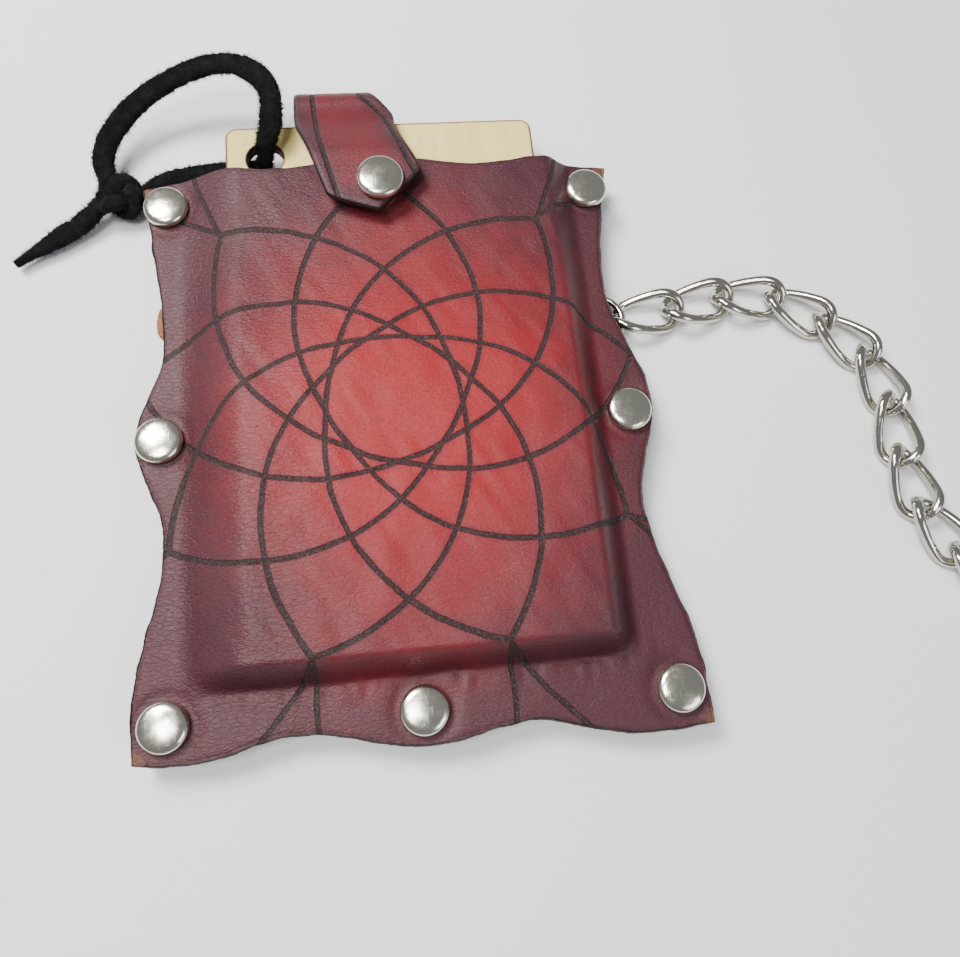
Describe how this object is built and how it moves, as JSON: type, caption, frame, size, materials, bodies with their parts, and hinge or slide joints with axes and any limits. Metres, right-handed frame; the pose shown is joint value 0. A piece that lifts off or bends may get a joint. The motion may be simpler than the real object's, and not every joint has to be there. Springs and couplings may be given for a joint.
{
  "type": "leather paddle case",
  "caption": "Moulded leather case with a scalloped riveted edge and a snap strap, holding a thin wooden paddle on a lace, with a curb chain and clip.",
  "frame": {"origin": "middle of the belt strap's flat outer face, on the plane that the case rests on", "axes": "+X to the right of the front face, +Y towards the mouth, +Z out of the front face"},
  "size_m": [0.2859, 0.1924, 0.021],
  "materials": {
    "oxblood_leather": "wet-moulded vegetable-tanned leather, dyed bright red in the middle and near black at the edges, waxed",
    "back_leather": "undyed to red-brown vegetable-tanned leather, matt flesh side",
    "tan_leather": "natural tan strap leather, matt",
    "nickel": "bright nickel plate, lightly scuffed",
    "chain_nickel": "nickel-plated steel wire",
    "birch_ply": "unfinished birch plywood, laser-charred edges",
    "black_suede": "black suede lace, fuzzy"
  },
  "bodies": {
    "case": {"front_panel": "oxblood_leather", "back_panel": "back_leather", "case_rivet_caps": "nickel", "case_rivet_backs": "nickel", "belt_strap": "tan_leather", "belt_rivet_heads": "nickel", "belt_rivet_flanges": "nickel", "closure_rear": "oxblood_leather", "closure_rivet_heads": "nickel", "closure_rivet_flanges": "nickel", "snap_stud": "nickel", "snap_eyelet": "nickel"},
    "flap": {"closure_flap": "oxblood_leather", "snap_cap": "nickel", "snap_socket": "nickel"},
    "paddle": {"paddle_board": "birch_ply", "lace": "black_suede", "lace_knot": "black_suede"},
    "ring": {"belt_ring": "chain_nickel"},
    "link_01": {"chain_link_01": "chain_nickel"},
    "link_02": {"chain_link_02": "chain_nickel"},
    "link_03": {"chain_link_03": "chain_nickel"},
    "link_04": {"chain_link_04": "chain_nickel"},
    "link_05": {"chain_link_05": "chain_nickel"},
    "link_06": {"chain_link_06": "chain_nickel"},
    "link_07": {"chain_link_07": "chain_nickel"},
    "link_08": {"chain_link_08": "chain_nickel"},
    "link_09": {"chain_link_09": "chain_nickel"},
    "link_10": {"chain_link_10": "chain_nickel"},
    "link_11": {"chain_link_11": "chain_nickel"},
    "link_12": {"chain_link_12": "chain_nickel"},
    "link_13": {"chain_link_13": "chain_nickel"},
    "swivel": {"clasp_swivel": "chain_nickel"},
    "clasp": {"clasp_body": "chain_nickel"},
    "gate": {"clasp_gate": "chain_nickel"}
  },
  "joints": [
    {"name": "flap_hinge", "type": "hinge", "parent": "case", "child": "flap", "pos_m": [-0.011, 0.05867, 0.00622], "axis": [-1, 0, 0], "range_deg": [0, 165]},
    {"name": "paddle_slide", "type": "slide", "parent": "case", "child": "paddle", "axis": [0, 1, 0], "range_m": [0, 0.004]},
    {"name": "ring_swing", "type": "hinge", "parent": "case", "child": "ring", "pos_m": [0.04544, -0.00238, 0.0023], "axis": [0.0523, 0.9986, 0], "range_deg": [-5, 15]},
    {"name": "link_01_turn", "type": "hinge", "parent": "ring", "child": "link_01", "pos_m": [0.0548, -0.0025, 0.00335], "axis": [0, 0, 1], "range_deg": [-3, 3]},
    {"name": "link_02_turn", "type": "hinge", "parent": "link_01", "child": "link_02", "pos_m": [0.0679, -0.00089, 0.00335], "axis": [0, 0, 1], "range_deg": [-4, 8]},
    {"name": "link_03_turn", "type": "hinge", "parent": "link_02", "child": "link_03", "pos_m": [0.0809, 0.0014, 0.00335], "axis": [0, 0, 1], "range_deg": [-4, 8]},
    {"name": "link_04_turn", "type": "hinge", "parent": "link_03", "child": "link_04", "pos_m": [0.09407, 0.00048, 0.00335], "axis": [0, 0, 1], "range_deg": [-4, 8]},
    {"name": "link_05_turn", "type": "hinge", "parent": "link_04", "child": "link_05", "pos_m": [0.10526, -0.00651, 0.00335], "axis": [0, 0, 1], "range_deg": [-4, 8]},
    {"name": "link_06_turn", "type": "hinge", "parent": "link_05", "child": "link_06", "pos_m": [0.11443, -0.01601, 0.00335], "axis": [0, 0, 1], "range_deg": [-4, 8]},
    {"name": "link_07_turn", "type": "hinge", "parent": "link_06", "child": "link_07", "pos_m": [0.11785, -0.02876, 0.00335], "axis": [0, 0, 1], "range_deg": [-4, 8]},
    {"name": "link_08_turn", "type": "hinge", "parent": "link_07", "child": "link_08", "pos_m": [0.11716, -0.04194, 0.00335], "axis": [0, 0, 1], "range_deg": [-4, 8]},
    {"name": "link_09_turn", "type": "hinge", "parent": "link_08", "child": "link_09", "pos_m": [0.119, -0.05501, 0.00335], "axis": [0, 0, 1], "range_deg": [-4, 8]},
    {"name": "link_10_turn", "type": "hinge", "parent": "link_09", "child": "link_10", "pos_m": [0.1256, -0.06645, 0.00335], "axis": [0, 0, 1], "range_deg": [-4, 8]},
    {"name": "link_11_turn", "type": "hinge", "parent": "link_10", "child": "link_11", "pos_m": [0.13443, -0.07626, 0.00335], "axis": [0, 0, 1], "range_deg": [-4, 8]},
    {"name": "link_12_turn", "type": "hinge", "parent": "link_11", "child": "link_12", "pos_m": [0.14424, -0.08509, 0.00335], "axis": [0, 0, 1], "range_deg": [-4, 8]},
    {"name": "link_13_turn", "type": "hinge", "parent": "link_12", "child": "link_13", "pos_m": [0.15464, -0.09321, 0.00335], "axis": [0, 0, 1], "range_deg": [-4, 8]},
    {"name": "swivel_turn", "type": "hinge", "parent": "link_13", "child": "swivel", "pos_m": [0.16532, -0.10097, 0.0043], "axis": [0, 0, 1], "range_deg": [-12, 12]},
    {"name": "clasp_spin", "type": "hinge", "parent": "swivel", "child": "clasp", "pos_m": [0.17503, -0.10803, 0.0043], "axis": [0.809, -0.5878, 0], "continuous": true},
    {"name": "gate_hinge", "type": "hinge", "parent": "clasp", "child": "gate", "pos_m": [0.17909, -0.11468, 0.0043], "axis": [0, 0, 1], "range_deg": [0, 14], "stiffness_Nm_per_rad": 0.004}
  ]
}
